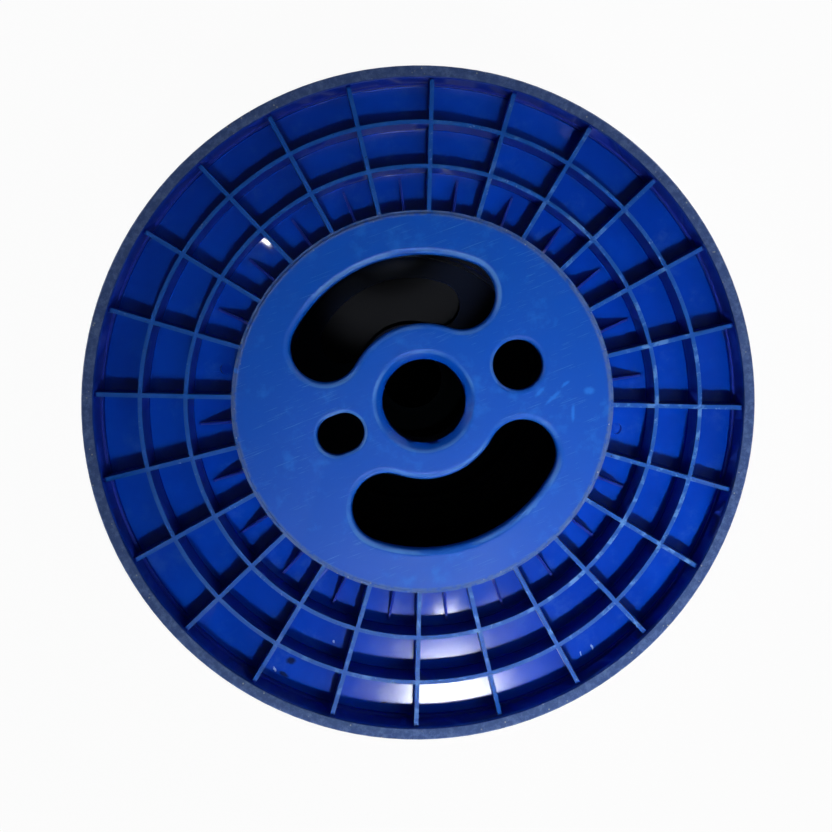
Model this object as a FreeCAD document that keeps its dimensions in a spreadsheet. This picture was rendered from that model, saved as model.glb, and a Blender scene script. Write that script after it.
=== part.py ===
import FreeCAD, Part
import math
import os

import Sketcher

# A ribbed plastic spool in millimetres, standing on its lower flange. +Z runs up the spool's
# axis and the origin is the middle of the face it stands on. Each flange is modelled with its
# winding face at z = 0 and its ribbed face up, then placed. The barrel is seated between them.

doc = FreeCAD.newDocument("spool")
sheet = doc.addObject("Spreadsheet::Sheet", "Sizes")

drivingSizes = [
    # whole spool
    ("FlangeDiameter", 400),
    ("BarrelDiameter", 224),
    ("OverallWidth", 300),
    ("FlangeThickness", 25),
    ("BarrelWall", 5),
    # web, rim and rings of a flange
    ("WebThickness", 4),
    ("RimWidth", 6.5),
    ("RimStepWidth", 1.4),
    ("RimStepHeight", 4),
    ("WallDraft", 0.4),
    ("RimEdgeRadius", 1.5),
    ("FloorRadius", 0.5),
    ("OuterRingRadius", 166.6),
    ("InnerRingRadius", 140.2),
    ("RingThickness", 2.4),
    # radial ribs and gussets
    ("RibCount", 24),
    ("RibThickness", 2.5),
    ("RibDrop", 2),
    ("RibEndRelief", 2.2),
    ("ReliefGap", 0.05),
    ("GussetThickness", 1.5),
    ("GussetTopDrop", 1.5),
    ("GussetEndGap", 1.5),
    # hub plate, its wall and the spigot that centres the barrel
    ("HubPlateRadius", 112),
    ("HubPlateThickness", 7),
    ("HubLedge", 1.8),
    ("HubEdgeRadius", 0.7),
    ("SpigotWall", 3),
    ("SpigotLength", 8),
    ("SpigotPlay", 0.2),
    # bore
    ("BoreDiameter", 50),
    ("LeadInDiameter", 60),
    ("LeadInDepth", 6),
    ("LeadInLipRadius", 3.5),
    ("SleeveWall", 5),
    ("SleeveReach", 10),
    # drive holes on the X axis
    ("DriveHoleDiameter", 30),
    ("DriveHoleOffset", 60),
    ("OvalHoleLength", 28),
    ("OvalHoleWidth", 23),
    ("OvalHoleOffset", 53),
    ("DriveHoleEdgeRadius", 3),
    # curved hand holes on the Y axis
    ("HandHoleRadius", 67),
    ("HandHoleWidth", 41),
    ("HandHoleHalfAngle", 40.5),
    ("HandHoleEdgeRadius", 4.6),
    # holes for the start of the wire
    ("WireHoleDiameter", 7),
    ("WireHoleRadius", 121),
    ("WireHoleAngle", 150),
]
for row, (alias, value) in enumerate(drivingSizes, start=1):
    sheet.set(f"A{row}", alias)
    sheet.set(f"B{row}", str(value))
    sheet.setAlias(f"B{row}", alias)
doc.recompute()
size = {alias: float(sheet.get(alias)) for alias, value in drivingSizes}

# Heights above the winding face, as expressions of the sheet.
rimTop = "Sizes.FlangeThickness"
floorTop = "Sizes.WebThickness"
ribTop = "(Sizes.FlangeThickness - Sizes.RibDrop)"
plateUnderside = "(Sizes.FlangeThickness - Sizes.HubPlateThickness)"
stepTop = "(Sizes.WebThickness + Sizes.RimStepHeight)"

# Radii, as expressions of the sheet.
boreRadius = "(Sizes.BoreDiameter / 2)"
sleeveRadius = "(Sizes.BoreDiameter / 2 + Sizes.SleeveWall)"
barrelRadius = "(Sizes.BarrelDiameter / 2)"
barrelInside = "(Sizes.BarrelDiameter / 2 - Sizes.BarrelWall)"
spigotOutside = "(Sizes.BarrelDiameter / 2 - Sizes.BarrelWall - Sizes.SpigotPlay)"
spigotInside = "(Sizes.BarrelDiameter / 2 - Sizes.BarrelWall - Sizes.SpigotPlay - Sizes.SpigotWall)"
hubWall = "(Sizes.HubPlateRadius + Sizes.HubLedge)"
rimInside = "(Sizes.FlangeDiameter / 2 - Sizes.RimWidth)"

ribPitch = 360 / size["RibCount"]
overlap = 1  # how far a rib or gusset runs into the wall, ring or web that it grows from


def valueOf(expression):
    return float(sheet.evalExpression(expression))


def originPlane(body, role):
    return next(f for f in body.Origin.OriginFeatures if f.Role == role)


def newSketch(body, name, role, turn=0, away=0):
    """A sketch on one of the body's origin planes, turned about the sketch's own upright axis
    and then moved away along its normal."""
    sketch = body.newObject("Sketcher::SketchObject", name)
    sketch.AttachmentSupport = [(originPlane(body, role), "")]
    sketch.MapMode = "FlatFace"
    rotation = FreeCAD.Rotation(FreeCAD.Vector(0, 1, 0), turn)
    sketch.AttachmentOffset = FreeCAD.Placement(
        rotation.multVec(FreeCAD.Vector(0, 0, away)), rotation)
    return sketch


def bindDistance(sketch, kind, geometry, point, expression):
    """Holds one coordinate of a sketch point at an expression of the sheet."""
    value = valueOf(expression)
    if abs(value) < 1e-9:
        axis = -2 if kind == "DistanceX" else -1
        sketch.addConstraint(Sketcher.Constraint("PointOnObject", geometry, point, axis))
    elif value < 0:
        index = sketch.addConstraint(Sketcher.Constraint(kind, geometry, point, -1, 1, -value))
        sketch.setExpression(f"Constraints[{index}]", f"-1 * ({expression})")
    else:
        index = sketch.addConstraint(Sketcher.Constraint(kind, -1, 1, geometry, point, value))
        sketch.setExpression(f"Constraints[{index}]", expression)


def outline(sketch, corners):
    """A closed outline of straight lines whose corners are pairs of expressions."""
    points = [FreeCAD.Vector(valueOf(across), valueOf(up), 0) for across, up in corners]
    for start, end in zip(points, points[1:] + points[:1]):
        sketch.addGeometry(Part.LineSegment(start, end))
    for i in range(len(points)):
        following = (i + 1) % len(points)
        sketch.addConstraint(Sketcher.Constraint("Coincident", i, 2, following, 1))
    for i, (across, up) in enumerate(corners):
        bindDistance(sketch, "DistanceX", i, 1, across)
        bindDistance(sketch, "DistanceY", i, 1, up)


def circle(sketch, across, up, diameter):
    centre = FreeCAD.Vector(valueOf(across), valueOf(up), 0)
    normal = FreeCAD.Vector(0, 0, 1)
    index = sketch.addGeometry(Part.Circle(centre, normal, valueOf(diameter) / 2))
    bindDistance(sketch, "DistanceX", index, 3, across)
    bindDistance(sketch, "DistanceY", index, 3, up)
    constraint = sketch.addConstraint(
        Sketcher.Constraint("Diameter", index, valueOf(diameter)))
    sketch.setExpression(f"Constraints[{constraint}]", diameter)


def arc(centre, radius, startAngle, endAngle):
    ring = Part.Circle(centre, FreeCAD.Vector(0, 0, 1), radius)
    return Part.ArcOfCircle(ring, math.radians(startAngle), math.radians(endAngle))


def bindRadius(sketch, geometry, expression):
    index = sketch.addConstraint(Sketcher.Constraint("Radius", geometry, valueOf(expression)))
    sketch.setExpression(f"Constraints[{index}]", expression)


def bandOutline(sketch):
    """A curved slot about the Y axis: two arcs about the origin with round ends."""
    middle = FreeCAD.Vector(0, 0, 0)
    halfAngle = size["HandHoleHalfAngle"]
    radius = size["HandHoleRadius"]
    halfWidth = size["HandHoleWidth"] / 2
    firstAngle, lastAngle = 90 - halfAngle, 90 + halfAngle
    ends = [FreeCAD.Vector(radius * math.cos(math.radians(a)), radius * math.sin(math.radians(a)), 0)
            for a in (firstAngle, lastAngle)]
    outer = sketch.addGeometry(arc(middle, radius + halfWidth, firstAngle, lastAngle))
    inner = sketch.addGeometry(arc(middle, radius - halfWidth, firstAngle, lastAngle))
    right = sketch.addGeometry(arc(ends[0], halfWidth, firstAngle - 180, firstAngle))
    left = sketch.addGeometry(arc(ends[1], halfWidth, lastAngle, lastAngle + 180))
    for geometry in (outer, inner):
        sketch.addConstraint(Sketcher.Constraint("Coincident", geometry, 3, -1, 1))
    for first, firstPoint, second, secondPoint in (
            (outer, 1, right, 2), (inner, 1, right, 1), (inner, 2, left, 2), (outer, 2, left, 1)):
        sketch.addConstraint(
            Sketcher.Constraint("Tangent", first, firstPoint, second, secondPoint))
    bindRadius(sketch, outer, "Sizes.HandHoleRadius + Sizes.HandHoleWidth / 2")
    bindRadius(sketch, inner, "Sizes.HandHoleRadius - Sizes.HandHoleWidth / 2")
    reach = "Sizes.HandHoleRadius * sin(Sizes.HandHoleHalfAngle * 1 deg)"
    bindDistance(sketch, "DistanceX", right, 3, reach)
    bindDistance(sketch, "DistanceX", left, 3, f"-1 * {reach}")


def ovalOutline(sketch):
    """A short slot on the negative X axis, longer along the radius than across it."""
    halfWidth = size["OvalHoleWidth"] / 2
    halfStraight = (size["OvalHoleLength"] - size["OvalHoleWidth"]) / 2
    nearX = -size["OvalHoleOffset"] + halfStraight
    farX = -size["OvalHoleOffset"] - halfStraight
    up = FreeCAD.Vector(0, halfWidth, 0)
    near, far = FreeCAD.Vector(nearX, 0, 0), FreeCAD.Vector(farX, 0, 0)
    nearEnd = sketch.addGeometry(arc(near, halfWidth, -90, 90))
    farEnd = sketch.addGeometry(arc(far, halfWidth, 90, 270))
    top = sketch.addGeometry(Part.LineSegment(near + up, far + up))
    bottom = sketch.addGeometry(Part.LineSegment(far - up, near - up))
    for first, firstPoint, second, secondPoint in (
            (nearEnd, 2, top, 1), (top, 2, farEnd, 1), (farEnd, 2, bottom, 1), (bottom, 2, nearEnd, 1)):
        sketch.addConstraint(
            Sketcher.Constraint("Tangent", first, firstPoint, second, secondPoint))
    halfGap = "(Sizes.OvalHoleLength - Sizes.OvalHoleWidth) / 2"
    for geometry, across in ((nearEnd, f"-1 * Sizes.OvalHoleOffset + {halfGap}"),
                             (farEnd, f"-1 * Sizes.OvalHoleOffset - {halfGap}")):
        bindDistance(sketch, "DistanceX", geometry, 3, across)
        bindDistance(sketch, "DistanceY", geometry, 3, "0")
        bindRadius(sketch, geometry, "Sizes.OvalHoleWidth / 2")


def polar(body, name, originals, count, angle=360):
    pattern = body.newObject("PartDesign::PolarPattern", name)
    pattern.Originals = originals
    pattern.Axis = (next(f for f in body.Origin.OriginFeatures if f.Role == "Z_Axis"), [""])
    pattern.Angle = angle
    pattern.Occurrences = count
    body.Tip = pattern
    doc.recompute()
    return pattern


def cutThrough(body, name, sketch):
    """Cuts a sketch on the winding face through everything above and below it."""
    before = body.Tip.Shape.Volume
    pocket = body.newObject("PartDesign::Pocket", name)
    pocket.Profile = sketch
    pocket.Type = "ThroughAll"
    pocket.SideType = "Symmetric"
    doc.recompute()
    if pocket.Shape.Volume > before - 1:
        raise RuntimeError(f"{name} cut nothing")
    return pocket


def rounded(body, name, radius, test):
    """Rounds the edges of the body's last feature that pass a test of their shape."""
    base = body.Tip
    names = [f"Edge{i}" for i, edge in enumerate(base.Shape.Edges, start=1) if test(edge)]
    if not names:
        raise RuntimeError(f"{name} found no edges")
    fillet = body.newObject("PartDesign::Fillet", name)
    fillet.Base = (base, names)
    fillet.setExpression("Radius", radius)
    doc.recompute()
    return fillet


def isCircleAt(edge, radius, height):
    """True for a full or part circle about the spool's axis at one radius and height."""
    if not isinstance(edge.Curve, Part.Circle):
        return False
    centre = edge.Curve.Center
    onAxis = math.hypot(centre.x, centre.y) < 0.01
    return onAxis and abs(edge.Curve.Radius - radius) < 0.01 and abs(centre.z - height) < 0.01


def isInRegion(edge, height, xRange, yRange):
    """True for an edge at one height whose whole outline lies in a region of the plate."""
    bounds = edge.BoundBox
    flat = abs(bounds.ZMin - height) < 0.01 and abs(bounds.ZMax - height) < 0.01
    insideX = xRange[0] < bounds.XMin and bounds.XMax < xRange[1]
    insideY = yRange[0] < bounds.YMin and bounds.YMax < yRange[1]
    return flat and insideX and insideY


def flangeSection(body):
    """The turned section: bore sleeve, hub plate and wall, spigot, web, rings and rim."""
    draft = "Sizes.WallDraft"
    halfRing = "Sizes.RingThickness / 2"
    corners = [
        (boreRadius, "-1 * Sizes.SleeveReach"),
        (sleeveRadius, "-1 * Sizes.SleeveReach"),
        (sleeveRadius, plateUnderside),
        (barrelInside, plateUnderside),
        (barrelInside, floorTop),
        (spigotInside, floorTop),
        (spigotInside, "-1 * Sizes.SpigotLength"),
        (spigotOutside, "-1 * Sizes.SpigotLength"),
        (spigotOutside, "0"),
        ("Sizes.FlangeDiameter / 2", "0"),
        ("Sizes.FlangeDiameter / 2", rimTop),
        (rimInside, rimTop),
        (f"{rimInside} - {draft}", stepTop),
        (f"{rimInside} - {draft} - Sizes.RimStepWidth", stepTop),
        (f"{rimInside} - {draft} - Sizes.RimStepWidth", floorTop),
    ]
    for ring in ("Sizes.OuterRingRadius", "Sizes.InnerRingRadius"):
        corners += [
            (f"{ring} + {halfRing} + {draft}", floorTop),
            (f"{ring} + {halfRing}", ribTop),
            (f"{ring} - {halfRing}", ribTop),
            (f"{ring} - {halfRing} - {draft}", floorTop),
        ]
    corners += [
        (f"{hubWall} + {draft}", floorTop),
        (hubWall, ribTop),
        ("Sizes.HubPlateRadius", ribTop),
        ("Sizes.HubPlateRadius", rimTop),
        ("Sizes.LeadInDiameter / 2", rimTop),
        (boreRadius, f"{rimTop} - Sizes.LeadInDepth"),
    ]
    sketch = newSketch(body, "Section", "XZ_Plane")
    outline(sketch, corners)
    section = body.newObject("PartDesign::Revolution", "TurnedSection")
    section.Profile = sketch
    section.ReferenceAxis = (sketch, ["V_Axis"])
    section.Angle = 360
    doc.recompute()
    return section


def roundTurnedEdges(body):
    """Rounds the rim's outer edges, the corners at the cell floors and the hub's edges."""
    flangeRadius = size["FlangeDiameter"] / 2
    thickness = size["FlangeThickness"]
    floor = size["WebThickness"]
    foot = size["WallDraft"]
    halfRing = size["RingThickness"] / 2
    floorRadii = [valueOf(rimInside) - foot - size["RimStepWidth"], valueOf(hubWall) + foot]
    for ring in (size["OuterRingRadius"], size["InnerRingRadius"]):
        floorRadii += [ring + halfRing + foot, ring - halfRing - foot]
    rounded(body, "RimEdges", "Sizes.RimEdgeRadius",
            lambda e: isCircleAt(e, flangeRadius, thickness) or isCircleAt(e, flangeRadius, 0))
    rounded(body, "FloorCorners", "Sizes.FloorRadius",
            lambda e: any(isCircleAt(e, r, floor) for r in floorRadii))
    rounded(body, "HubEdge", "Sizes.HubEdgeRadius",
            lambda e: isCircleAt(e, size["HubPlateRadius"], thickness))
    rounded(body, "LeadInLip", "Sizes.LeadInLipRadius",
            lambda e: isCircleAt(e, size["LeadInDiameter"] / 2, thickness))


def addRibs(body):
    """Tapered radial ribs from the hub wall to the rim, eased down where they meet the rim. The
    first rib stands half a pitch from the X axis, so that cells lie on the axes."""
    start = valueOf(hubWall) - overlap
    reach = valueOf(rimInside) - size["WallDraft"] + overlap / 2
    sketch = newSketch(body, "RibSection", "YZ_Plane", ribPitch / 2, start)
    foot = "Sizes.RibThickness / 2 + Sizes.WallDraft"
    top = "Sizes.RibThickness / 2"
    root = f"{floorTop} - {overlap}"
    outline(sketch, [(f"-1 * ({foot})", root), (foot, root), (top, ribTop), (f"-1 * ({top})", ribTop)])
    rib = body.newObject("PartDesign::Pad", "Rib")
    rib.Profile = sketch
    rib.Length = reach - start
    doc.recompute()
    ribs = polar(body, "Ribs", [rib], int(size["RibCount"]))
    ribs.setExpression("Occurrences", "Sizes.RibCount")
    relief = newSketch(body, "RibEndSection", "XZ_Plane")
    outline(relief, [(f"{rimInside} - Sizes.RibEndRelief", f"{ribTop} + {overlap}"),
                     (f"{rimInside} - Sizes.RibEndRelief", ribTop),
                     (f"{rimInside} - Sizes.ReliefGap", f"{ribTop} - Sizes.RibEndRelief"),
                     (f"{rimInside} - Sizes.ReliefGap", f"{ribTop} + {overlap}")])
    before = body.Tip.Shape.Volume
    groove = body.newObject("PartDesign::Groove", "RibEnds")
    groove.Profile = relief
    groove.ReferenceAxis = (relief, ["V_Axis"])
    groove.Angle = 360
    doc.recompute()
    if groove.Shape.Volume > before - 1:
        raise RuntimeError("RibEnds cut nothing")


def addGussets(body):
    """Thin triangles between the ribs, high on the hub wall and falling to the floor. The two
    cells with a wire hole have none."""
    gapAngle = size["WireHoleAngle"]
    perSide = int(size["RibCount"] / 2 - 1)
    for side, firstAngle in (("First", gapAngle + ribPitch), ("Second", gapAngle + 180 + ribPitch)):
        sketch = newSketch(body, f"{side}GussetOutline", "XZ_Plane", firstAngle)
        end = "Sizes.InnerRingRadius - Sizes.RingThickness / 2 - Sizes.GussetEndGap"
        outline(sketch, [(f"{hubWall} - {overlap}", f"{floorTop} - {overlap}"),
                         (f"{end} + {overlap}", f"{floorTop} - {overlap}"),
                         (end, floorTop),
                         (hubWall, f"{ribTop} - Sizes.GussetTopDrop"),
                         (f"{hubWall} - {overlap}", f"{ribTop} - Sizes.GussetTopDrop")])
        gusset = body.newObject("PartDesign::Pad", f"{side}Gusset")
        gusset.Profile = sketch
        gusset.SideType = "Symmetric"
        gusset.setExpression("Length", "Sizes.GussetThickness")
        doc.recompute()
        polar(body, f"{side}Gussets", [gusset], perSide, (perSide - 1) * ribPitch)


def cutHubHoles(body):
    """Two curved hand holes, a round drive hole and an oval one through the hub plate."""
    handSketch = newSketch(body, "HandHoleOutline", "XY_Plane")
    bandOutline(handSketch)
    doc.recompute()
    handHole = cutThrough(body, "HandHole", handSketch)
    polar(body, "HandHoles", [handHole], 2)
    driveSketch = newSketch(body, "DriveHoleOutline", "XY_Plane")
    circle(driveSketch, "Sizes.DriveHoleOffset", "0", "Sizes.DriveHoleDiameter")
    cutThrough(body, "DriveHole", driveSketch)
    ovalSketch = newSketch(body, "OvalHoleOutline", "XY_Plane")
    ovalOutline(ovalSketch)
    cutThrough(body, "OvalHole", ovalSketch)


def cutWireHoles(body):
    """Two small holes through the web, opposite each other, for the start of the wire."""
    sketch = newSketch(body, "WireHoleOutline", "XY_Plane")
    angle = "(Sizes.WireHoleAngle * 1 deg)"
    circle(sketch, f"Sizes.WireHoleRadius * cos{angle}", f"Sizes.WireHoleRadius * sin{angle}",
           "Sizes.WireHoleDiameter")
    polar(body, "WireHoles", [cutThrough(body, "WireHole", sketch)], 2)


def roundHubHoles(body):
    """Well-rounded upper edges on the hand holes, smaller ones on the drive holes."""
    top = size["FlangeThickness"]
    plate = size["HubPlateRadius"]
    nearest = size["HandHoleRadius"] - size["HandHoleWidth"] / 2
    farthest = size["HandHoleRadius"] + size["HandHoleWidth"] / 2

    def onHandHole(edge):
        middle = edge.valueAt((edge.FirstParameter + edge.LastParameter) / 2)
        radius = math.hypot(middle.x, middle.y)
        inBand = nearest - 0.1 < radius < farthest + 0.1
        return inBand and isInRegion(edge, top, (-plate, plate), (-plate, plate)) \
            and abs(middle.y) > size["DriveHoleDiameter"] / 2 + 0.1

    def onDriveHole(edge):
        halfBand = size["DriveHoleDiameter"] / 2 + 0.1
        onRight = isInRegion(edge, top, (valueOf("Sizes.LeadInDiameter / 2") + 3, plate),
                             (-halfBand, halfBand))
        onLeft = isInRegion(edge, top, (-plate, -valueOf("Sizes.LeadInDiameter / 2") - 3),
                            (-halfBand, halfBand))
        return onRight or onLeft

    rounded(body, "HandHoleEdges", "Sizes.HandHoleEdgeRadius", onHandHole)
    rounded(body, "DriveHoleEdges", "Sizes.DriveHoleEdgeRadius", onDriveHole)


def makeFlange(label):
    body = doc.addObject("PartDesign::Body", label)
    body.Label = label
    flangeSection(body)
    roundTurnedEdges(body)
    addRibs(body)
    addGussets(body)
    cutHubHoles(body)
    cutWireHoles(body)
    roundHubHoles(body)
    return body


def makeBarrel(label):
    body = doc.addObject("PartDesign::Body", label)
    body.Label = label
    sketch = newSketch(body, "TubeSection", "XY_Plane")
    circle(sketch, "0", "0", f"2 * {barrelRadius}")
    circle(sketch, "0", "0", f"2 * {barrelInside}")
    tube = body.newObject("PartDesign::Pad", "Tube")
    tube.Profile = sketch
    tube.setExpression("Length", "Sizes.OverallWidth - 2 * Sizes.FlangeThickness")
    doc.recompute()
    return body


upperFlange = makeFlange("upper_flange")
upperFlange.setExpression("Placement.Base.z", "Sizes.OverallWidth - Sizes.FlangeThickness")

lowerFlange = makeFlange("lower_flange")
lowerFlange.Placement = FreeCAD.Placement(
    FreeCAD.Vector(0, 0, size["FlangeThickness"]), FreeCAD.Rotation(FreeCAD.Vector(1, 0, 0), 180))

barrel = makeBarrel("barrel")
barrel.setExpression("Placement.Base.z", "Sizes.FlangeThickness")
doc.recompute()

subParts = [upperFlange, lowerFlange, barrel]
failed = [o.Name for o in doc.Objects if "Invalid" in o.State or "Error" in o.State]
if failed:
    raise RuntimeError(f"failed objects: {failed}")
for part in subParts:
    if part.Shape.isNull() or not part.Shape.isValid() or len(part.Shape.Solids) != 1:
        raise RuntimeError(f"{part.Label} is not one valid solid")

os.makedirs("parts", exist_ok=True)
for part in subParts:
    part.Shape.exportStep(f"parts/{part.Label}.step")
    box = part.Shape.BoundBox
    print(f"{part.Label}: {part.Shape.Volume / 1000:.1f} cm3, z {box.ZMin:.2f} to {box.ZMax:.2f}")
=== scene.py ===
import math

import bpy
from mathutils import Matrix, Vector

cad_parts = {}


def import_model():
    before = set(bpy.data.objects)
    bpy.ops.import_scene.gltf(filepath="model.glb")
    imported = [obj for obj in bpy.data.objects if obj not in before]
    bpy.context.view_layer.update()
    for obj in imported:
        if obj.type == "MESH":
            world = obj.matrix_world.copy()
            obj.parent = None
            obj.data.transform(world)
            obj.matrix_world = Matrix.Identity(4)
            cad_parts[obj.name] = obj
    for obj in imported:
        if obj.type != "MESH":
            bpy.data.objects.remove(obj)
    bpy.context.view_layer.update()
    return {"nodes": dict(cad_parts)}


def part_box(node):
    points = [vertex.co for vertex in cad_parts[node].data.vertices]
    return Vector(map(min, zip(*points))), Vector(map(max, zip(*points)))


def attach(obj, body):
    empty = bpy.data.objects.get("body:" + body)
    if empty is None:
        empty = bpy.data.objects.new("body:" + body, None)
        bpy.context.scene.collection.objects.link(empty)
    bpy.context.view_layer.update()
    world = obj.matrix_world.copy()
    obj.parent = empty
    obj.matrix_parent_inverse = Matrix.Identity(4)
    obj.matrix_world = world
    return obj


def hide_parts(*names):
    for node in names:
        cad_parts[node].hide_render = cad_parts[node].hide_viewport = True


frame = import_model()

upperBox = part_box("upper_flange")
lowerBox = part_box("lower_flange")
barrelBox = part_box("barrel")
topZ = upperBox[1][2]
floorZ = lowerBox[0][2]
rimRadius = upperBox[1][0]
mm = 0.001


# ---- camera, stage and light

view = {
    "foot": (-24.1 * mm, 44.95 * mm),  # where a plumb line from the camera lands, right and up
    "height": 607.9 * mm,  # above the upper rim
    "turn": 21.07,  # how far the drive holes are turned from level
    "tiltUp": 0.534,
    "tiltSide": -3.361,
    "lens": 44.39,
    "shift": (-0.0336, -0.1201),
}

lamps = [  # each place is right, up and above the upper rim, and so is what the lamp aims at
    {"name": "keyLamp", "place": (0.20, -1.05, 2.42), "aim": (0.09, -0.12, 0), "size": 0.24,
     "power": 0.38, "spread": 14.6, "shine": False, "colour": (0.88, 0.95, 1.0)},
    {"name": "glintLamp", "place": (0.174, -1.10, 2.42), "aim": (0.02, -0.15, 0), "size": 0.28,
     "power": 9.5, "spread": 180, "shine": True, "colour": (0.94, 0.98, 1.0)},
    {"name": "rightFill", "place": (0.60, -0.25, 0.80), "aim": (0, 0, 0), "size": 0.80,
     "power": 2.5, "spread": 180, "shine": False, "colour": (0.93, 0.97, 1.0)},
    {"name": "sideFront", "place": (0.35, -1.15, -0.10), "aim": (0, 0, -0.15), "size": 0.60,
     "power": 6.0, "spread": 180, "shine": True, "colour": (1, 1, 1)},
    {"name": "sideLeft", "place": (-1.20, 0.25, -0.10), "aim": (0, 0, -0.15), "size": 0.60,
     "power": 6.0, "spread": 180, "shine": True, "colour": (1, 1, 1)},
    {"name": "sideBack", "place": (0.80, 0.90, -0.10), "aim": (0, 0, -0.15), "size": 0.60,
     "power": 6.0, "spread": 180, "shine": True, "colour": (1, 1, 1)},
]

sky = {
    "strength": 0.06,
    "colour": (0.50, 0.78, 1.0),
}

stage = {
    "side": 6.0,
    "gap": 0.2 * mm,  # below the part, so that no faces share a plane
    "colour": (0.62, 0.62, 0.61),
    "paintedUnderShade": (0.012, 0.012, 0.014),  # painted shade where the part stands and no light reaches
    "whiteShare": 0.96,  # how much of the bare floor the camera sees as plain white
    "footprint": (rimRadius - 12 * mm, rimRadius - 2 * mm),
}


def viewAxes():
    turn = math.radians(view["turn"])
    right = Vector((math.cos(turn), -math.sin(turn), 0))
    up = Vector((math.sin(turn), math.cos(turn), 0))
    return right, up


def fromView(x, y, z):  # a place given right and up in the view and above the upper rim
    right, up = viewAxes()
    return right * x + up * y + Vector((0, 0, topZ + z))


def makeCamera():
    right, up = viewAxes()
    level = Matrix((right, up, Vector((0, 0, 1)))).transposed().to_4x4()
    tilt = Matrix.Rotation(math.radians(view["tiltUp"]), 4, "X") @ \
        Matrix.Rotation(math.radians(view["tiltSide"]), 4, "Y")
    camera = bpy.data.cameras.new("camera")
    camera.lens = view["lens"]
    camera.shift_x, camera.shift_y = view["shift"]
    camera.clip_start = 0.01
    cameraObject = bpy.data.objects.new("camera", camera)
    place = fromView(view["foot"][0], view["foot"][1], view["height"])
    cameraObject.matrix_world = Matrix.Translation(place) @ level @ tilt
    bpy.context.scene.collection.objects.link(cameraObject)
    bpy.context.scene.camera = cameraObject


def makeLamp(lamp):
    place = fromView(*lamp["place"])
    aim = fromView(*lamp["aim"]) - place
    light = bpy.data.lights.new(lamp["name"], "AREA")
    light.shape = "DISK"
    light.size = lamp["size"]
    light.energy = lamp["power"]
    light.spread = math.radians(lamp["spread"])
    light.color = lamp["colour"]
    lampObject = bpy.data.objects.new(lamp["name"], light)
    lampObject.visible_glossy = lamp["shine"]
    lampObject.visible_camera = False
    turned = aim.to_track_quat("-Z", "Y").to_matrix().to_4x4()
    lampObject.matrix_world = Matrix.Translation(place) @ turned
    bpy.context.scene.collection.objects.link(lampObject)


def makeSky():
    world = bpy.data.worlds.new("studio")
    world.use_nodes = True
    nodes, links = world.node_tree.nodes, world.node_tree.links
    around = nodes["Background"]
    around.inputs["Color"].default_value = (*sky["colour"], 1)
    around.inputs["Strength"].default_value = sky["strength"]
    white = nodes.new("ShaderNodeBackground")
    white.inputs["Color"].default_value = (1, 1, 1, 1)
    rays = nodes.new("ShaderNodeLightPath")
    mix = nodes.new("ShaderNodeMixShader")
    links.new(rays.outputs["Is Camera Ray"], mix.inputs["Fac"])
    links.new(around.outputs["Background"], mix.inputs[1])
    links.new(white.outputs["Background"], mix.inputs[2])
    links.new(mix.outputs["Shader"], nodes["World Output"].inputs["Surface"])
    bpy.context.scene.world = world


# ---- node helpers: each takes a material's node tree and gives back an output socket

def newMaterial(name):
    material = bpy.data.materials.new(name)
    material.use_nodes = True
    return material, material.node_tree, material.node_tree.nodes["Principled BSDF"]


def setInput(tree, socket, value):
    if isinstance(value, bpy.types.NodeSocket):
        tree.links.new(value, socket)
    else:
        socket.default_value = value


def calculate(tree, operation, first, second=0.0):
    node = tree.nodes.new("ShaderNodeMath")
    node.operation = operation
    setInput(tree, node.inputs[0], first)
    setInput(tree, node.inputs[1], second)
    return node.outputs[0]


def vectorMath(tree, operation, *values):  # gives back the node, for its vector or its value
    node = tree.nodes.new("ShaderNodeVectorMath")
    node.operation = operation
    for socket, value in zip(node.inputs, values):
        setInput(tree, socket, value)
    return node


def inMillimetres(tree):
    coordinates = tree.nodes.new("ShaderNodeTexCoord")
    scale = (1 / mm, 1 / mm, 1 / mm)
    return vectorMath(tree, "MULTIPLY", coordinates.outputs["Object"], scale).outputs[0]


def flattened(tree, place):
    return vectorMath(tree, "MULTIPLY", place, (1, 1, 0)).outputs[0]


def lengthOf(tree, place):
    return vectorMath(tree, "LENGTH", place).outputs["Value"]


def ramp(tree, value, low, high, fromValue=0.0, toValue=1.0):  # smooth change between two readings
    node = tree.nodes.new("ShaderNodeMapRange")
    node.interpolation_type = "SMOOTHSTEP"
    setInput(tree, node.inputs["Value"], value)
    node.inputs["From Min"].default_value = low
    node.inputs["From Max"].default_value = high
    node.inputs["To Min"].default_value = fromValue
    node.inputs["To Max"].default_value = toValue
    return node.outputs["Result"]


def both(tree, first, second):
    return calculate(tree, "MULTIPLY", first, second)


def either(tree, first, second):
    return calculate(tree, "MAXIMUM", first, second)


def blendColour(tree, factor, first, second):
    node = tree.nodes.new("ShaderNodeMix")
    node.data_type = "RGBA"
    setInput(tree, node.inputs["Factor"], factor)
    setInput(tree, node.inputs["A"], first if isinstance(first, bpy.types.NodeSocket) else (*first, 1))
    setInput(tree, node.inputs["B"], second if isinstance(second, bpy.types.NodeSocket) else (*second, 1))
    return next(o for o in node.outputs if o.type == "RGBA")


def blendValue(tree, factor, first, second):
    node = tree.nodes.new("ShaderNodeMix")
    setInput(tree, node.inputs["Factor"], factor)
    setInput(tree, node.inputs["A"], first)
    setInput(tree, node.inputs["B"], second)
    return node.outputs[0]


def mapped(tree, place, turn=0.0, stretch=(1, 1, 1), offset=(0, 0, 0)):
    node = tree.nodes.new("ShaderNodeMapping")
    setInput(tree, node.inputs["Vector"], place)
    node.inputs["Rotation"].default_value = (0, 0, math.radians(turn))
    node.inputs["Scale"].default_value = stretch
    node.inputs["Location"].default_value = offset
    return node.outputs[0]


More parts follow.
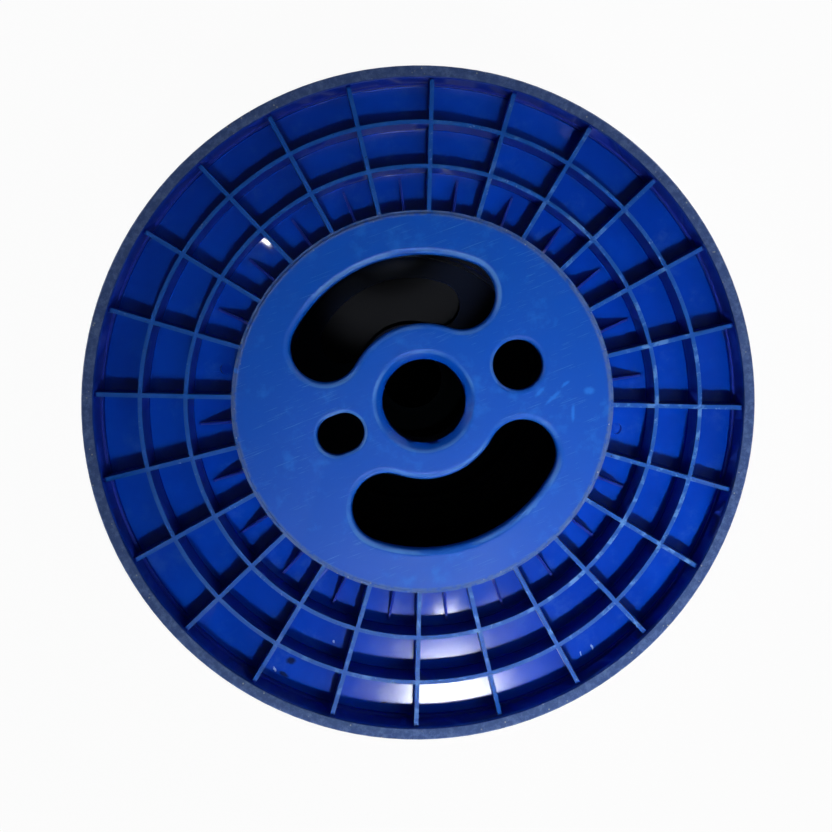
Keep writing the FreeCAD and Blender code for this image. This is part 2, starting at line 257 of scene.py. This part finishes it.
def noise(tree, place, size, detail=3.0, roughness=0.55, distortion=0.0):  # size in the place's units
    node = tree.nodes.new("ShaderNodeTexNoise")
    setInput(tree, node.inputs["Vector"], place)
    node.inputs["Scale"].default_value = 1 / size
    node.inputs["Detail"].default_value = detail
    node.inputs["Roughness"].default_value = roughness
    node.inputs["Distortion"].default_value = distortion
    return node.outputs["Fac"]


def specks(tree, place, pitch, low, high):  # round spots scattered about one pitch apart
    node = tree.nodes.new("ShaderNodeTexVoronoi")
    setInput(tree, node.inputs["Vector"], place)
    node.inputs["Scale"].default_value = 1 / pitch
    return ramp(tree, node.outputs["Distance"], low, high, 1.0, 0.0)


def scratches(tree, place, turn, length, width, amount, offset=(0, 0, 0)):  # fine straight marks
    lengthwise = mapped(tree, place, turn, (1 / length, 1 / width, 1 / length), offset)
    lines = noise(tree, lengthwise, 1.0, 2.0, 0.5)
    patches = noise(tree, mapped(tree, place, turn, (1, 1, 1), offset), length * 1.4, 1.0)
    return both(tree, ramp(tree, lines, amount, amount + 0.05), ramp(tree, patches, 0.46, 0.6))


def bumpOf(tree, height, distance, strength=1.0, normal=None):
    node = tree.nodes.new("ShaderNodeBump")
    node.inputs["Strength"].default_value = strength
    node.inputs["Distance"].default_value = distance
    setInput(tree, node.inputs["Height"], height)
    if normal is not None:
        setInput(tree, node.inputs["Normal"], normal)
    return node.outputs["Normal"]


# ---- moulded plastic, worn where it has been rolled, stacked and handled, with painted shade in its walls and hollows and painted sheen on the rib tops

plastic = {  # colours
    "deep": (0.0001, 0.042, 0.440),
    "lit": (0.0004, 0.056, 0.530),
    # painted shade: the walls are the same plastic as the floors, painted darker
    "wall": (0.0100, 0.030, 0.340),
    "hub": (0.0005, 0.084, 0.530),
    "hubPale": (0.0200, 0.190, 0.720),
    "ribTop": (0.0040, 0.085, 0.420),
    "scuff": (0.1300, 0.310, 0.680),
    "rim": (0.0380, 0.074, 0.215),
    "rimPale": (0.1050, 0.160, 0.350),
    # painted shade: near black, for hollows that no light reaches
    "paintedShade": (0.0006, 0.003, 0.014),
    "grit": (0.4200, 0.400, 0.330),
    "nick": (0.3800, 0.520, 0.740),
    "dirt": (0.0040, 0.006, 0.012),
}

zones = {  # in millimetres: depths below the outer face and radii, each where a change starts and ends
    "rimTop": (0.6, 2.2),
    "hubTop": (3.0, 7.0),
    "ribTop": (2.35, 3.0),
    "floor": (18.5, 20.5),
    "wall": (19.5, 20.5),
    "edgeBand": (2.4, 3.2),
    "lipStart": (0.04, 0.30),
    "lipEnd": (0.9, 2.4),
    # painted shade in the hub's holes starts at this depth
    "paintedHoleShade": (5.6, 6.9),
    "rimRadius": (193.2, 193.6),
    "hubRadius": (112.1, 112.4),
    "edgeRadius": (109.8, 111.2),
    "ledgeRadius": (113.8, 114.2),
    "lipRadius": (108, 109),
    # the painted shade in the hub's holes lies inside this radius
    "paintedHoleShadeRadius": (106, 108),
}

wear = {  # each pattern's size in millimetres, detail and roughness, then the readings of none and all
    "ribScuffAndSheen": (8, 3, 0.60, 0.52, 0.66),
    "nicks": (2.4, 3, 0.65, 0.60, 0.72),
    "nickedParts": (34, 2, 0.55, 0.50, 0.64),
    "grime": (2.3, 3, 0.70, 0.36, 0.30),
    "grimyParts": (27, 2, 0.55, 0.50, 0.62),
    "edgeWear": (4, 5, 0.70, 0.34, 0.54),
    "rimWear": (3.5, 6, 0.75, 0.42, 0.66),
    "grittyParts": (9, 2, 0.55, 0.50, 0.60),
    "dust": (22, 5, 0.70, 0.50, 0.78),
    "lipWear": (42, 3, 0.55, 0.40, 0.60),
}

strokes = [  # fine rubbed lines on the hub: turn, length, width, how few, and where the pattern starts
    (12, 22, 0.50, 0.66, (3, 5, 0)),
    (-38, 16, 0.45, 0.67, (40, 11, 0)),
    (74, 12, 0.45, 0.68, (7, 60, 0)),
]

gloss = {  # roughness, or its least and most
    "wall": 0.32,
    "floor": (0.105, 0.135),
    "hub": (0.33, 0.44),
    "ribTop": 0.42,
    "rubbed": 0.62,
}

upperMarks = [  # spots and scratches on the upper flange, in millimetres and degrees
    {"colour": "dirt", "place": (-131, -118), "turn": 159, "size": (8, 6)},
    {"colour": "dirt", "place": (-138, -124), "turn": 124, "size": (9, 4)},
    {"colour": "nick", "place": (-142, -119), "turn": 96, "size": (4.5, 1.4)},
    {"colour": "nick", "place": (-103, -117), "turn": 159, "size": (2.2, 2)},
    {"colour": "dirt", "place": (-88, -163), "turn": 174, "size": (6, 1.2)},
    {"colour": "hubPale", "place": (73, -25), "turn": 21, "size": (15, 3)},
    {"colour": "hubPale", "place": (67, -19), "turn": 24, "size": (10, 3)},
    {"colour": "hubPale", "place": (83, -20), "turn": 17, "size": (8, 2.5)},
    {"colour": "hubPale", "place": (95, -29), "turn": 159, "size": (9, 6)},
    {"colour": "hubPale", "place": (81, -38), "turn": 68, "size": (14, 3)},
    {"colour": "hubPale", "place": (-96, 58), "turn": 120, "size": (6, 4)},
    {"colour": "nick", "place": (43, -180), "turn": 84, "size": (5, 1.6)},
    {"colour": "nick", "place": (35, -181), "turn": 84, "size": (4, 1.5)},
]


def unevenFlat(tree, place):  # the place with its height left out, and shaken a little to fray edges
    node = tree.nodes.new("ShaderNodeTexNoise")
    setInput(tree, node.inputs["Vector"], place)
    node.inputs["Scale"].default_value = 0.6
    shaken = vectorMath(tree, "MULTIPLY_ADD", node.outputs["Color"], (1.6, 1.6, 0), place)
    return flattened(tree, shaken.outputs[0])


def markMask(tree, place, mark):
    node = tree.nodes.new("ShaderNodeMapping")
    node.vector_type = "TEXTURE"
    setInput(tree, node.inputs["Vector"], place)
    node.inputs["Location"].default_value = (*mark["place"], 0)
    node.inputs["Rotation"].default_value = (0, 0, math.radians(mark["turn"]))
    node.inputs["Scale"].default_value = (mark["size"][0] / 2, mark["size"][1] / 2, 1)
    return ramp(tree, lengthOf(tree, node.outputs[0]), 0.35, 1.0, 0.85, 0)


def past(tree, value, kind):
    return ramp(tree, value, *zones[kind])


def before(tree, value, kind):
    return ramp(tree, value, *zones[kind], 1, 0)


def worn(tree, place, kind, low=0.0, high=1.0):
    size, detail, roughness, none, full = wear[kind]
    return ramp(tree, noise(tree, place, size, detail, roughness), none, full, low, high)


def flangeZones(tree, radius, depth):  # where each kind of surface is
    isRim = past(tree, radius, "rimRadius")
    onHub = before(tree, radius, "hubRadius")
    between = calculate(tree, "SUBTRACT", 1.0, either(tree, isRim, onHub))
    nearEdge = both(tree, past(tree, radius, "edgeRadius"), before(tree, radius, "ledgeRadius"))
    hubTop = both(tree, onHub, before(tree, depth, "hubTop"))
    lip = both(tree, past(tree, depth, "lipStart"), before(tree, depth, "lipEnd"))
    lip = both(tree, lip, before(tree, radius, "lipRadius"))
    return {
        "rimTop": both(tree, isRim, before(tree, depth, "rimTop")),
        "hubTop": hubTop,
        "ribTop": both(tree, between, before(tree, depth, "ribTop")),
        "floor": both(tree, between, past(tree, depth, "floor")),
        "wall": both(tree, between, before(tree, depth, "wall")),
        "edgeBand": both(tree, nearEdge, before(tree, depth, "edgeBand")),
        "lip": both(tree, hubTop, lip),
        "paintedHoleShade": both(tree, before(tree, radius, "paintedHoleShadeRadius"), past(tree, depth, "paintedHoleShade")),
    }


def flangeWear(tree, place, paintedSheenSide, blotchy, zone):  # how worn each surface is, and where sheen is painted on the rib tops
    rubbed = 0.0
    for stroke in strokes:
        rubbed = either(tree, rubbed, scratches(tree, place, *stroke))
    # rib tops paler towards the right and bottom, where the light comes from: scuffing and painted sheen
    ribScuffAndSheen = both(tree, worn(tree, place, "ribScuffAndSheen"), ramp(tree, paintedSheenSide, -150, 190, 0.05, 0.75))
    nicks = both(tree, worn(tree, place, "nicks"), worn(tree, place, "nickedParts", 0, 0.6))
    grime = both(tree, worn(tree, place, "grime"), worn(tree, place, "grimyParts"))
    grit = both(tree, specks(tree, place, 3.2, 0.10, 0.20), worn(tree, place, "grittyParts"))
    return {
        "ribScuffAndSheen": both(tree, zone["ribTop"], ribScuffAndSheen),
        "nicks": both(tree, zone["ribTop"], nicks),
        "grime": both(tree, zone["ribTop"], grime),
        "hubSmear": both(tree, zone["hubTop"], ramp(tree, blotchy, 0.52, 0.74)),
        "hubRub": both(tree, zone["hubTop"], rubbed),
        "lip": both(tree, zone["lip"], worn(tree, place, "lipWear", 0.08, 0.62)),
        "rim": both(tree, zone["rimTop"], worn(tree, place, "rimWear")),
        "edge": both(tree, zone["edgeBand"], worn(tree, place, "edgeWear")),
        "grit": both(tree, grit, either(tree, zone["rimTop"], zone["edgeBand"])),
        "dust": both(tree, zone["floor"], worn(tree, place, "dust")),
    }


def flangeColour(tree, place, cloudy, zone, rub, marks):
    colour = blendColour(tree, ramp(tree, cloudy, 0.35, 0.65), plastic["deep"], plastic["lit"])
    layers = [  # where, what colour, and how strong, from the lowest up
        # the walls' darker colour is painted shade
        (zone["wall"], "wall", 1),
        (zone["ribTop"], "ribTop", 1),
        (rub["ribScuffAndSheen"], "scuff", 1),
        (rub["nicks"], "nick", 1),
        (rub["grime"], "dirt", 1),
        (zone["hubTop"], "hub", 1),
        (rub["hubSmear"], "hubPale", 0.45),
        (rub["hubRub"], "scuff", 0.5),
        (rub["lip"], "scuff", 1),
        (zone["rimTop"], "rim", 1),
        (rub["rim"], "rimPale", 1),
        (rub["edge"], "rimPale", 0.75),
        (rub["grit"], "grit", 1),
        (rub["dust"], "scuff", 0.12),
    ]
    for mask, name, strength in layers:
        colour = blendColour(tree, both(tree, mask, strength), colour, plastic[name])
    uneven = unevenFlat(tree, place)
    for mark in marks:
        colour = blendColour(tree, markMask(tree, uneven, mark), colour, plastic[mark["colour"]])
    # painted shade: the hub's holes and everything deeper under the hub plate are painted near black
    return blendColour(tree, zone["paintedHoleShade"], colour, plastic["paintedShade"])


def flangeGloss(tree, blotchy, zone, rub):  # polished cells, a satin hub and a rubbed matt rim
    onFloor = ramp(tree, blotchy, 0.3, 0.75, *gloss["floor"])
    onHub = ramp(tree, blotchy, 0.35, 0.7, *gloss["hub"])
    roughness = blendValue(tree, zone["floor"], gloss["wall"], onFloor)
    roughness = blendValue(tree, zone["hubTop"], roughness, onHub)
    roughness = blendValue(tree, zone["ribTop"], roughness, gloss["ribTop"])
    return blendValue(tree, either(tree, zone["rimTop"], rub["edge"]), roughness, gloss["rubbed"])


def flangeRelief(tree, place, zone, rub):
    wavy = bumpOf(tree, noise(tree, place, 30, 1, 0.4), 0.25 * mm, 0.12)
    rough = either(tree, either(tree, zone["rimTop"], zone["ribTop"]), zone["edgeBand"])
    pitted = bumpOf(tree, both(tree, noise(tree, place, 1.6, 4, 0.6), rough), 0.12 * mm, 0.5, wavy)
    return bumpOf(tree, calculate(tree, "SUBTRACT", 1.0, rub["hubRub"]), 0.05 * mm, 0.4, pitted)


def mouldedMaterial(name, outerZ, outward, offset, marks):
    material, tree, shader = newMaterial(name)
    place = inMillimetres(tree)
    split = tree.nodes.new("ShaderNodeSeparateXYZ")
    tree.links.new(place, split.inputs[0])
    x, y, z = split.outputs
    radius = lengthOf(tree, flattened(tree, place))
    depth = calculate(tree, "MULTIPLY", calculate(tree, "SUBTRACT", outerZ / mm, z), outward)
    # grows towards the right and bottom, the lit side, for the painted sheen
    paintedSheenSide = calculate(tree, "SUBTRACT", x, y)
    shifted = mapped(tree, place, offset=offset)
    cloudy = noise(tree, shifted, 60, 4, 0.6)
    blotchy = noise(tree, shifted, 14, 5, 0.65)
    zone = flangeZones(tree, radius, depth)
    rub = flangeWear(tree, shifted, paintedSheenSide, blotchy, zone)
    tree.links.new(flangeColour(tree, place, cloudy, zone, rub, marks), shader.inputs["Base Color"])
    tree.links.new(flangeGloss(tree, blotchy, zone, rub), shader.inputs["Roughness"])
    tree.links.new(flangeRelief(tree, shifted, zone, rub), shader.inputs["Normal"])
    return material


# ---- flanges: the moulded shape with its edges softened as a mould leaves them

moulding = {
    "mergeGap": 0.01 * mm,
    "flatAngle": 1.0,
    "edgeRadius": 0.8 * mm,
    "edgeAngle": 40,
    "edgeSteps": 3,
    "smoothAngle": 50,
}


def onlySelect(piece):
    bpy.ops.object.select_all(action="DESELECT")
    piece.select_set(True)
    bpy.context.view_layer.objects.active = piece


def applyModifier(piece, kind, settings):
    modifier = piece.modifiers.new(kind.lower(), kind)
    for key, value in settings.items():
        setattr(modifier, key, value)
    onlySelect(piece)
    bpy.ops.object.modifier_apply(modifier=modifier.name)


def softenedCopy(nodeName, name):
    node = frame["nodes"][nodeName]
    piece = bpy.data.objects.new(name, node.data.copy())
    bpy.context.scene.collection.objects.link(piece)
    piece.data.materials.clear()
    onlySelect(piece)
    bpy.ops.object.mode_set(mode="EDIT")
    bpy.ops.mesh.select_all(action="SELECT")
    bpy.ops.mesh.remove_doubles(threshold=moulding["mergeGap"])
    bpy.ops.mesh.dissolve_limited(angle_limit=math.radians(moulding["flatAngle"]))
    bpy.ops.mesh.select_all(action="DESELECT")
    bpy.ops.object.mode_set(mode="OBJECT")
    applyModifier(piece, "BEVEL", {
        "width": moulding["edgeRadius"], "segments": moulding["edgeSteps"],
        "limit_method": "ANGLE", "angle_limit": math.radians(moulding["edgeAngle"]),
        "miter_outer": "MITER_SHARP"})
    onlySelect(piece)
    bpy.ops.object.shade_smooth_by_angle(angle=math.radians(moulding["smoothAngle"]))
    applyModifier(piece, "WEIGHTED_NORMAL", {"keep_sharp": True, "weight": 100})
    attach(piece, "root")
    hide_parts(nodeName)
    return piece


# ---- barrel: a smooth tube between the flanges

tube = {
    "sides": 192,
    "wall": 5 * mm,
    "edge": 0.4 * mm,
    "paintedShadeRadius": (107.5, 110),  # in millimetres: painted shade within, as no light reaches it
}


def barrelMaterial():
    material, tree, shader = newMaterial("barrelBlue")
    place = inMillimetres(tree)
    rings = noise(tree, mapped(tree, place, stretch=(1 / 60, 1 / 60, 1 / 1.4)), 1.0, 4, 0.6)
    cloudy = noise(tree, place, 45, 4, 0.6)
    rub = both(tree, ramp(tree, rings, 0.52, 0.72), ramp(tree, cloudy, 0.42, 0.66))
    colour = blendColour(tree, ramp(tree, cloudy, 0.35, 0.65), plastic["lit"], plastic["hub"])
    colour = blendColour(tree, calculate(tree, "MULTIPLY", rub, 0.3), colour, plastic["scuff"])
    radius = lengthOf(tree, flattened(tree, place))
    inPaintedShade = ramp(tree, radius, *tube["paintedShadeRadius"], 1, 0)
    # painted shade: the tube's inside is painted near black
    colour = blendColour(tree, inPaintedShade, colour, plastic["paintedShade"])
    tree.links.new(colour, shader.inputs["Base Color"])
    tree.links.new(ramp(tree, rub, 0, 1, 0.26, 0.46), shader.inputs["Roughness"])
    tree.links.new(bumpOf(tree, rings, 0.08 * mm, 0.4), shader.inputs["Normal"])
    return material


def makeBarrel():
    low, high = barrelBox
    radius = high[0]
    bpy.ops.object.select_all(action="DESELECT")
    bpy.ops.mesh.primitive_cylinder_add(
        vertices=tube["sides"], radius=radius, depth=high[2] - low[2], end_fill_type="NOTHING",
        location=(0, 0, (low[2] + high[2]) / 2))
    piece = bpy.context.active_object
    piece.name = "barrel_tube"
    piece.data.name = "barrel_tube"
    bpy.ops.object.transform_apply(location=True, rotation=True, scale=True)
    applyModifier(piece, "SOLIDIFY", {"thickness": tube["wall"], "offset": -1})
    applyModifier(piece, "BEVEL", {
        "width": tube["edge"], "segments": 2, "limit_method": "ANGLE",
        "angle_limit": math.radians(60)})
    onlySelect(piece)
    bpy.ops.object.shade_smooth_by_angle(angle=math.radians(moulding["smoothAngle"]))
    piece.data.materials.append(barrelMaterial())
    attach(piece, "root")
    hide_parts("barrel")
    return piece


def makeFloor():
    bpy.ops.object.select_all(action="DESELECT")
    bpy.ops.mesh.primitive_plane_add(size=stage["side"], location=(0, 0, floorZ - stage["gap"]))
    floor = bpy.context.active_object
    floor.name = "floor"
    bpy.ops.object.transform_apply(location=True, rotation=True, scale=True)
    material, tree, shader = newMaterial("paleFloor")
    shader.inputs["Roughness"].default_value = 0.9
    coordinates = tree.nodes.new("ShaderNodeTexCoord")
    bare = ramp(tree, lengthOf(tree, coordinates.outputs["Object"]), *stage["footprint"])
    # painted shade under the part, the pale floor beyond it
    colour = blendColour(tree, bare, stage["paintedUnderShade"], stage["colour"])
    tree.links.new(colour, shader.inputs["Base Color"])
    rays = tree.nodes.new("ShaderNodeLightPath")
    share = both(tree, bare, calculate(tree, "MULTIPLY", rays.outputs["Is Camera Ray"], stage["whiteShare"]))
    white = tree.nodes.new("ShaderNodeEmission")
    white.inputs["Strength"].default_value = 1.0
    mix = tree.nodes.new("ShaderNodeMixShader")
    tree.links.new(share, mix.inputs["Fac"])
    tree.links.new(shader.outputs["BSDF"], mix.inputs[1])
    tree.links.new(white.outputs["Emission"], mix.inputs[2])
    tree.links.new(mix.outputs["Shader"], tree.nodes["Material Output"].inputs["Surface"])
    floor.data.materials.append(material)


makeCamera()
for lamp in lamps:
    makeLamp(lamp)
makeSky()
makeFloor()
bpy.context.scene.view_settings.view_transform = "Standard"
print("camera, light and floor are in place")

upper = softenedCopy("upper_flange", "upper_flange_moulding")
upper.data.materials.append(mouldedMaterial("upperBlue", topZ, 1, (0, 0, 0), upperMarks))
lower = softenedCopy("lower_flange", "lower_flange_moulding")
lower.data.materials.append(mouldedMaterial("lowerBlue", floorZ, -1, (310, 90, 40), []))
print("flanges made")

makeBarrel()
print("barrel made")
